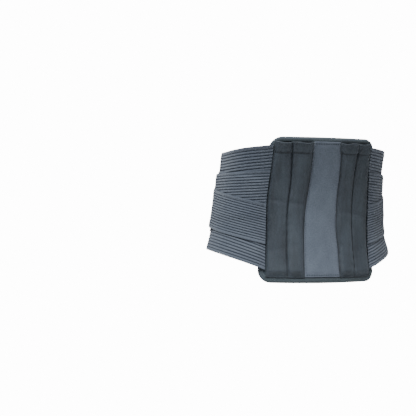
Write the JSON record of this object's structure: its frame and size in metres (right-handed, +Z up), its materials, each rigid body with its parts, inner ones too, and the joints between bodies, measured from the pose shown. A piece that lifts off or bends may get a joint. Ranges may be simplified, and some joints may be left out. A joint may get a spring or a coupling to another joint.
{
  "type": "lumbar support belt",
  "caption": "Lumbar support belt closed round a waist: padded back panel with sheathed stays, ribbed elastic wings, hook-and-loop closure and side pull straps.",
  "frame": {"origin": "centre of the waist opening at the mid height of the back panel, where the wearer's waist holds the belt", "axes": "+Z up the wearer's spine; the wearer faces -Y, so the closure is at -Y and the back panel at +Y; +X is the wearer's left and the belt's longest extent"},
  "size_m": [0.3406, 0.2594, 0.2486],
  "materials": {
    "liner": "brushed knit",
    "foam": "open-cell foam",
    "pocket_cloth": "smooth laminated knit with a slight sheen",
    "binding": "folded tape",
    "velour": "short velour",
    "ribbed_elastic": "ribbed woven elastic",
    "loop_cloth": "napped loop cloth",
    "hook_tape": "woven hook tape",
    "stay_metal": "plain rolled",
    "tip_dip": "dipped"
  },
  "bodies": {
    "back_panel": {"inner_liner": "liner", "foam_pad": "foam", "back_cover": "pocket_cloth", "edge_binding": "binding", "center_strip": "velour", "pocket_pair_left": "pocket_cloth", "pocket_pair_right": "pocket_cloth"},
    "left_wing": {"left_upper_band": "ribbed_elastic", "left_lower_band": "ribbed_elastic", "left_loop_patch": "loop_cloth", "left_end_binding": "binding", "left_strap_root": "ribbed_elastic"},
    "right_wing": {"right_upper_band": "ribbed_elastic", "right_lower_band": "ribbed_elastic", "right_loop_patch": "loop_cloth", "closure_seam_tape": "binding", "right_strap_root": "ribbed_elastic"},
    "closure": {"closure_face": "velour", "closure_hook": "hook_tape"},
    "left_strap": {"left_pull_upper": "ribbed_elastic", "left_pull_lower": "ribbed_elastic"},
    "right_strap": {"right_pull_upper": "ribbed_elastic", "right_pull_lower": "ribbed_elastic"},
    "left_tab": {"left_tab_face": "velour", "left_tab_hook": "hook_tape"},
    "right_tab": {"right_tab_face": "velour", "right_tab_hook": "hook_tape"},
    "left_inner_stay": {"stay_left_inner": "stay_metal", "tips_left_inner": "tip_dip"},
    "left_outer_stay": {"stay_left_outer": "stay_metal", "tips_left_outer": "tip_dip"},
    "right_inner_stay": {"stay_right_inner": "stay_metal", "tips_right_inner": "tip_dip"},
    "right_outer_stay": {"stay_right_outer": "stay_metal", "tips_right_outer": "tip_dip"}
  },
  "joints": [
    {"name": "right_wing_open", "type": "hinge", "parent": "back_panel", "child": "right_wing", "pos_m": [-0.0909, 0.10878, 0], "axis": [0, 0, -1], "range_deg": [0, 70]},
    {"name": "left_wing_open", "type": "hinge", "parent": "back_panel", "child": "left_wing", "pos_m": [0.0909, 0.10878, 0], "axis": [0, 0, 1], "range_deg": [0, 70]},
    {"name": "closure_peel", "type": "hinge", "parent": "right_wing", "child": "closure", "pos_m": [-0.00814, -0.12316, -0.01634], "axis": [-0.1764, -0.1537, -0.9722], "range_deg": [0, 110]},
    {"name": "left_strap_release", "type": "hinge", "parent": "left_wing", "child": "left_strap", "pos_m": [0.13226, 0.079, 0], "axis": [0, 0, 1], "range_deg": [0, 40]},
    {"name": "left_tab_lift", "type": "hinge", "parent": "left_strap", "child": "left_tab", "pos_m": [0.15047, -0.04766, 0.00886], "axis": [-0.1025, 0.0551, 0.9932], "range_deg": [0, 55]},
    {"name": "right_strap_release", "type": "hinge", "parent": "right_wing", "child": "right_strap", "pos_m": [-0.13226, 0.079, 0], "axis": [0, 0, -1], "range_deg": [0, 40]},
    {"name": "right_tab_lift", "type": "hinge", "parent": "right_strap", "child": "right_tab", "pos_m": [-0.15047, -0.04766, 0.00886], "axis": [-0.1025, -0.0551, -0.9932], "range_deg": [0, 55]},
    {"name": "left_inner_stay_slide", "type": "hinge", "parent": "back_panel", "child": "left_inner_stay", "pos_m": [0.13003, 0.54206, -0.017], "axis": [-0.9814, 0.1918, 0], "range_deg": [0, 24]},
    {"name": "left_outer_stay_slide", "type": "hinge", "parent": "back_panel", "child": "left_outer_stay", "pos_m": [0.21056, 0.52111, -0.017], "axis": [-0.9506, 0.3106, 0], "range_deg": [0, 24]},
    {"name": "right_inner_stay_slide", "type": "hinge", "parent": "back_panel", "child": "right_inner_stay", "pos_m": [-0.13003, 0.54206, -0.017], "axis": [-0.9814, -0.1918, 0], "range_deg": [0, 24]},
    {"name": "right_outer_stay_slide", "type": "hinge", "parent": "back_panel", "child": "right_outer_stay", "pos_m": [-0.21056, 0.52111, -0.017], "axis": [-0.9506, -0.3106, 0], "range_deg": [0, 24]}
  ],
  "couplings": [
    {"joint": "left_wing_open", "follows": "right_wing_open", "ratio": 1}
  ]
}
